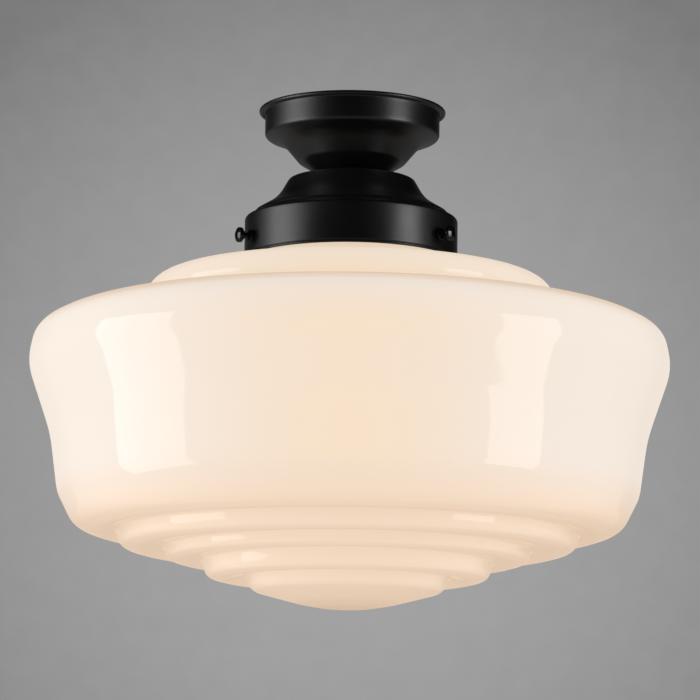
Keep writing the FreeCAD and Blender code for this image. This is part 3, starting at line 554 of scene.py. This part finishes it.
def glow(tree):
    """Colour of the glow, with painted shade in its deep colours: one ramp over height for each way of
    looking, mixed by Layer Weight.
    """
    place = tree.nodes.new("ShaderNodeTexCoord")
    split = tree.nodes.new("ShaderNodeSeparateXYZ")
    tree.links.new(place.outputs["Object"], split.inputs["Vector"])
    height = ranged(tree, split.outputs["Z"], (TIP, CROWN))
    facing = tree.nodes.new("ShaderNodeLayerWeight").outputs["Facing"]
    colour = along(tree, height, FACE_ON)
    for laid, steps in ((TURNED_AWAY, TURNED_STEPS), (GRAZING, GRAZING_STEPS)):
        share = ramp(tree, facing, [(at, (part,) * 3) for at, part in steps])
        colour = mixed(tree, share, colour, along(tree, height, laid))
    return colour


def opal_glass():
    """Pale base, glossy skin, and the glow: all of it for the camera, CAST_SHARE for everything else."""
    material = finish("opal glass", (0.335, 0.33, 0.32), (0.35, 0.345, 0.335), (0.045, 0.06),
                      clouds=5.0, grain=14.0, relief=0.03, depth=0.002)
    tree = material.node_tree
    shader = tree.nodes["Principled BSDF"]
    shader.inputs["Specular IOR Level"].default_value = SKIN_MIRROR
    camera_ray = tree.nodes.new("ShaderNodeLightPath").outputs["Is Camera Ray"]
    cast = ranged(tree, camera_ray, (0.0, 1.0), (CAST_SHARE, 1.0))
    tree.links.new(mixed(tree, 1.0, glow(tree), cast, "MULTIPLY"), shader.inputs["Emission Color"])
    shader.inputs["Emission Strength"].default_value = 1.0
    return material


opal = opal_glass()
print("opal glass with", len(opal.node_tree.nodes), "nodes")

# %% [markdown]
# ### Hidden pieces
#
# The strap and its nuts are zinc plated, the socket is porcelain with a brass shell and cap, and the
# leads have plastic sheaths. They show only from above or with the shade taken down, but each has
# the finish of the real piece.

# %% Plated steel, brass and porcelain
zinc = finish("zinc plate", (0.42, 0.42, 0.40), (0.62, 0.61, 0.57), (0.28, 0.42),
              metallic=1.0, clouds=60.0, grain=700.0, relief=0.08)
brass = finish("rolled brass", (0.62, 0.45, 0.20), (0.74, 0.56, 0.28), (0.22, 0.36),
               metallic=1.0, clouds=70.0, relief=0.05)
porcelain = finish("glazed porcelain", (0.78, 0.77, 0.73), (0.86, 0.85, 0.81), (0.08, 0.14),
                   clouds=25.0, grain=120.0, relief=0.06)
base_metal = finish("rolled lamp base", (0.62, 0.62, 0.62), (0.74, 0.74, 0.74), (0.25, 0.35),
                    metallic=1.0, clouds=80.0)
solder = finish("dull solder", (0.42, 0.42, 0.41), (0.55, 0.55, 0.54), (0.4, 0.55),
                metallic=1.0, clouds=200.0, relief=0.2)
dark_coil = finish("dark coil", (0.10, 0.095, 0.09), (0.16, 0.155, 0.15), (0.5, 0.6),
                   metallic=1.0, clouds=200.0)
print("metals and porcelain:", [m.name for m in (zinc, brass, porcelain, base_metal, solder, dark_coil)])

# %% Plastics and black glass
black_sheath = finish("black sheath", (0.02, 0.02, 0.02), (0.03, 0.03, 0.03), (0.45, 0.55), clouds=90.0)
white_sheath = finish("white sheath", (0.72, 0.72, 0.69), (0.80, 0.80, 0.77), (0.45, 0.55), clouds=90.0)
green_sheath = finish("green sheath", (0.03, 0.24, 0.08), (0.045, 0.30, 0.11), (0.45, 0.55), clouds=90.0)
green_screw = finish("green screw", (0.03, 0.25, 0.10), (0.06, 0.33, 0.14), (0.3, 0.4),
                     metallic=0.6, clouds=150.0)
orange_cap = finish("orange connector", (0.60, 0.16, 0.02), (0.70, 0.20, 0.035), (0.4, 0.5),
                    clouds=120.0, relief=0.1)
black_glass = finish("black insulator", (0.015, 0.012, 0.02), (0.022, 0.018, 0.028), (0.12, 0.2),
                     clouds=60.0)
print("plastics:", [m.name for m in (black_sheath, white_sheath, green_sheath, green_screw, orange_cap)])

# %% Lamp glass
LAMP_COLOUR = (1.0, 0.72, 0.42, 1.0)
LAMP_GLOW = 1.2


def lamp_glass(name, rough, strength):
    """Clear or frosted glass: Transmission Weight 1, and a warm emission where the lamp is lit."""
    material = finish(name, (0.95, 0.95, 0.93), (1.0, 1.0, 0.98), rough, clouds=40.0)
    shader = material.node_tree.nodes["Principled BSDF"]
    shader.inputs["Transmission Weight"].default_value = 1.0
    shader.inputs["Emission Color"].default_value = LAMP_COLOUR
    shader.inputs["Emission Strength"].default_value = strength
    return material


frosted_glass = lamp_glass("frosted glass", (0.5, 0.6), LAMP_GLOW)
clear_glass = lamp_glass("clear glass", (0.02, 0.05), 0.0)
print("lamp glass:", frosted_glass.name, "and", clear_glass.name)

# %% [markdown]
# ### Dressing
#
# Each piece of the construction model takes one finish, also the pieces that the new glass, canopy
# and holder stand for. Finishes could be set piece by piece, but one table shows at a glance that
# none is left plain.

# %% Give every piece its finish
FINISHES = {
    black_paint: ["canopy", "shade_holder", "screw_bosses"],
    black_polish: ["thumbscrew_left", "thumbscrew_right", "thumbscrew_rear"],
    opal: ["shade_crown", "shade_shoulder", "shade_body", "shade_heel", "shade_bowl"],
    zinc: ["mounting_strap", "nipple", "strap_nuts", "holder_washer", "star_washer", "holder_nut",
           "set_screw"],
    brass: ["socket_cap", "screw_shell", "centre_contact", "terminal_screws"],
    porcelain: ["socket_body"],
    black_sheath: ["live_lead"],
    white_sheath: ["neutral_lead"],
    green_sheath: ["ground_lead"],
    green_screw: ["ground_screw"],
    orange_cap: ["live_connector", "neutral_connector", "ground_connector"],
    base_metal: ["bulb_base"],
    black_glass: ["bulb_insulator"],
    solder: ["bulb_contact", "bulb_wires"],
    frosted_glass: ["bulb_glass"],
    clear_glass: ["bulb_stem"],
    dark_coil: ["bulb_filament"],
}


def dress(piece, material):
    """Makes one finish the only one on a piece."""
    piece.data.materials.clear()
    piece.data.materials.append(material)


for material, names in FINISHES.items():
    for name in names:
        dress(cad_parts[name], material)
dress(shade, opal)
dress(canopy, black_paint)
dress(holder, black_paint)
print("finishes", len(FINISHES), "nodes", sum(len(names) for names in FINISHES.values()))

# %% [markdown]
# ## Studio
#
# The light stands before a plain grey wall, with a tall soft box on each side. The wall could be a
# big plane, but as the world it has no edge and throws no shadow. The floor lies well below the
# light. It is seen only in other views, and from underneath it is clear, so that the shade can be
# looked at from below.

# %% Floor
FLOOR_HALF = 8.0
FLOOR_HEIGHT = -1.9
FLOOR_GREY = (0.55, 0.55, 0.55, 1.0)
FLOOR_ROUGH = 0.9


def pale_floor():
    """Matt grey from above, and clear where Geometry's Backfacing says that it is seen from below."""
    material = bpy.data.materials.new("pale floor")
    material.use_nodes = True
    tree = material.node_tree
    shader = tree.nodes["Principled BSDF"]
    shader.inputs["Base Color"].default_value = FLOOR_GREY
    shader.inputs["Roughness"].default_value = FLOOR_ROUGH
    clear = tree.nodes.new("ShaderNodeBsdfTransparent")
    side = tree.nodes.new("ShaderNodeNewGeometry")
    mix = tree.nodes.new("ShaderNodeMixShader")
    tree.links.new(side.outputs["Backfacing"], mix.inputs[0])
    tree.links.new(shader.outputs["BSDF"], mix.inputs[1])
    tree.links.new(clear.outputs["BSDF"], mix.inputs[2])
    tree.links.new(mix.outputs["Shader"], tree.nodes["Material Output"].inputs["Surface"])
    return material


def add_floor():
    """A level square of twice FLOOR_HALF each way, which isn't part of the light."""
    corners = np.array([(-1, -1, 0), (1, -1, 0), (1, 1, 0), (-1, 1, 0)], float) * FLOOR_HALF
    corners[:, 2] = FLOOR_HEIGHT
    mesh = bpy.data.meshes.new("floor")
    mesh.from_pydata(corners.tolist(), [], [(0, 1, 2, 3)])
    mesh.materials.append(pale_floor())
    floor = bpy.data.objects.new("floor", mesh)
    bpy.context.scene.collection.objects.link(floor)


add_floor()
print("floor at", FLOOR_HEIGHT)

# %% Grey wall as the world
WALL_BRIGHTEST = 0.373
WALL_FALL = 7.0
WALL_LEAST = 0.20
POOL_HEIGHT = math.radians(7.36)
MOTTLE = 0.03
MOTTLE_SCALE = 160.0
MOTTLE_DETAIL = 4.0


def worked_out(tree, operation, *values):
    """Math node. Each of its inputs is a number or another node's output."""
    step = tree.nodes.new("ShaderNodeMath")
    step.operation = operation
    for slot, value in zip(step.inputs, values):
        feed(tree, slot, value)
    return step.outputs["Value"]


def wall_grey(tree, direction):
    """Brightness of the wall: brightest minus the fall times the squared distance from the middle of
    the pool of light, but never below the least, with a faint mottling."""
    pool = tree.nodes.new("ShaderNodeVectorMath")
    pool.operation = "DISTANCE"
    pool.inputs[1].default_value = (0.0, math.cos(POOL_HEIGHT), math.sin(POOL_HEIGHT))
    tree.links.new(direction, pool.inputs[0])
    fall = worked_out(tree, "MULTIPLY", worked_out(tree, "POWER", pool.outputs["Value"], 2.0), WALL_FALL)
    grey = worked_out(tree, "MAXIMUM", worked_out(tree, "SUBTRACT", WALL_BRIGHTEST, fall), WALL_LEAST)
    mottle = tree.nodes.new("ShaderNodeTexNoise")
    mottle.inputs["Scale"].default_value = MOTTLE_SCALE
    mottle.inputs["Detail"].default_value = MOTTLE_DETAIL
    tree.links.new(direction, mottle.inputs["Vector"])
    uneven = worked_out(tree, "MULTIPLY_ADD", mottle.outputs["Fac"], MOTTLE, -MOTTLE / 2)
    return worked_out(tree, "ADD", grey, uneven)


print("wall", WALL_BRIGHTEST, "to", WALL_LEAST)

# %% [markdown]
# ### What each ray meets
#
# A picture of a glossy thing needs a dark room behind the camera, or its highlights drown. So a
# mirror ray meets the wall only where it really is, behind the light, and a dark room elsewhere. Rays
# that gather the soft light between things meet one even grey instead, which is quicker and calmer.

# %% World
AMBIENT = (0.42, 0.42, 0.42, 1.0)
WHITE = (1.0, 1.0, 1.0, 1.0)
WALL_SPAN = (0.8, 1.0)


def behind_light(tree, direction):
    """Share of the wall in a mirror: 0 to 1, smoothly, as the direction's Y goes over WALL_SPAN."""
    split = tree.nodes.new("ShaderNodeSeparateXYZ")
    tree.links.new(direction, split.inputs["Vector"])
    share = ranged(tree, split.outputs["Y"], WALL_SPAN)
    share.node.interpolation_type = "SMOOTHSTEP"
    return share


def add_world():
    """The wall where the camera looks, the wall and a dark room in mirrors, and even light for the rest."""
    world = bpy.data.worlds.new("studio")
    bpy.context.scene.world = world
    world.use_nodes = True
    tree = world.node_tree
    tree.nodes.clear()
    direction = tree.nodes.new("ShaderNodeTexCoord").outputs["Generated"]
    ray = tree.nodes.new("ShaderNodeLightPath").outputs
    not_glossy = worked_out(tree, "SUBTRACT", 1.0, ray["Is Glossy Ray"])
    room = worked_out(tree, "MAXIMUM", not_glossy, behind_light(tree, direction))
    seen = tree.nodes.new("ShaderNodeBackground")
    seen.inputs["Color"].default_value = WHITE
    tree.links.new(worked_out(tree, "MULTIPLY", wall_grey(tree, direction), room), seen.inputs["Strength"])
    light = tree.nodes.new("ShaderNodeBackground")
    light.inputs["Color"].default_value = AMBIENT
    mirrors = worked_out(tree, "MAXIMUM", ray["Is Glossy Ray"], ray["Is Transmission Ray"])
    mix = tree.nodes.new("ShaderNodeMixShader")
    tree.links.new(worked_out(tree, "MAXIMUM", ray["Is Camera Ray"], mirrors), mix.inputs[0])
    tree.links.new(light.outputs["Background"], mix.inputs[1])
    tree.links.new(seen.outputs["Background"], mix.inputs[2])
    out = tree.nodes.new("ShaderNodeOutputWorld")
    tree.links.new(mix.outputs["Shader"], out.inputs["Surface"])
    return world


print("world", add_world().name, "with an even light of", AMBIENT[0])

# %% [markdown]
# ### Soft boxes
#
# Two tall boxes give the glass its long highlights. The black metal has two boxes of its own, higher
# up. Light linking keeps those off the glass, as a photographer does with flags, so the highlights
# on the pan and the skirt can be set without changing the glass.

# %% Soft boxes
GLASS_BOXES = {
    "box left": dict(azimuth=-77.3, height=-0.355, distance=1.5, wide=0.89, tall=1.29, power=13.0),
    "box right": dict(azimuth=63.0, height=-0.28, distance=1.8, wide=0.73, tall=1.32, power=11.5),
}
METAL_BOXES = {
    "metal left": dict(azimuth=-77.3, height=0.08, distance=1.5, wide=0.85, tall=0.50, power=11.7),
    "metal right": dict(azimuth=62.0, height=0.10, distance=1.8, wide=0.73, tall=0.50, power=4.9),
}


def soft_box(name, azimuth, height, distance, wide, tall, power):
    """Upright rectangular light that faces the axis from an azimuth (0 front, 90 right)."""
    data = bpy.data.lights.new(name, "AREA")
    data.shape = "RECTANGLE"
    data.size = wide
    data.size_y = tall
    data.energy = power
    box = bpy.data.objects.new(name, data)
    turn = math.radians(azimuth)
    box.location = (distance * math.sin(turn), -distance * math.cos(turn), height)
    box.rotation_euler = (math.pi / 2, 0.0, turn)
    bpy.context.scene.collection.objects.link(box)
    return box


def only_on(box, pieces):
    """Lets a light fall on the given pieces alone."""
    lit = bpy.data.collections.new(box.name + " falls on")
    for piece in pieces:
        lit.objects.link(piece)
    box.light_linking.receiver_collection = lit


black_nodes = [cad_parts[name] for name in ["screw_bosses", *FINISHES[black_polish]]]
for name, placing in GLASS_BOXES.items():
    soft_box(name, **placing)
for name, placing in METAL_BOXES.items():
    only_on(soft_box(name, **placing), [canopy, holder, *black_nodes])

# %% [markdown]
# ## Colours
#
# The Standard view shows each colour as it was chosen, where a film look would bend it.

# %% Colour management
bpy.context.scene.view_settings.view_transform = "Standard"
